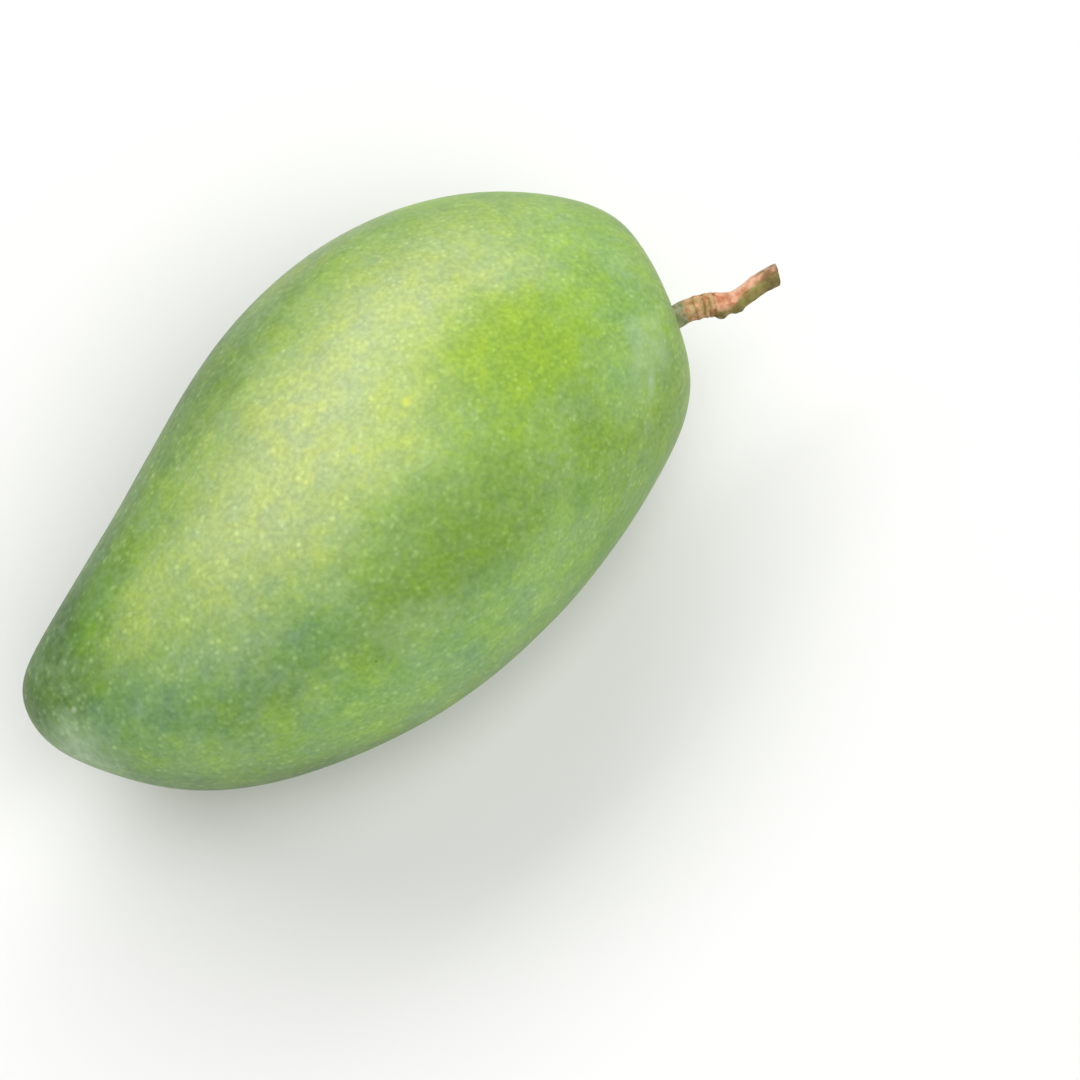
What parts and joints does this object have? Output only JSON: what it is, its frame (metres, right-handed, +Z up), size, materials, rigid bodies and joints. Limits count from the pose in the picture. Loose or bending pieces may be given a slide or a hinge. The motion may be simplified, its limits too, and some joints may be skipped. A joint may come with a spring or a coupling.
{
  "type": "green mango",
  "caption": "Whole unripe mango, kidney-oval with a rounded beak and a short woody stem in a shallow hollow, lying on a small flat spot of its broad cheek.",
  "frame": {"origin": "middle of the small flat spot on the lower cheek, at the table", "axes": "+X towards the stem end, -X towards the beak, +Y towards the ventral side with the hollow before the beak, +Z up through the thickness of the fruit"},
  "size_m": [0.1378, 0.0705, 0.0626],
  "materials": {
    "skin": "smooth waxy mango skin, yellow-green with bluish bloom and fine pale dots, soft satin gloss",
    "bark": "dry young twig bark, orange-brown above and olive below, matt"
  },
  "bodies": {
    "root": {"fruit": "skin", "stem": "bark"}
  },
  "joints": []
}
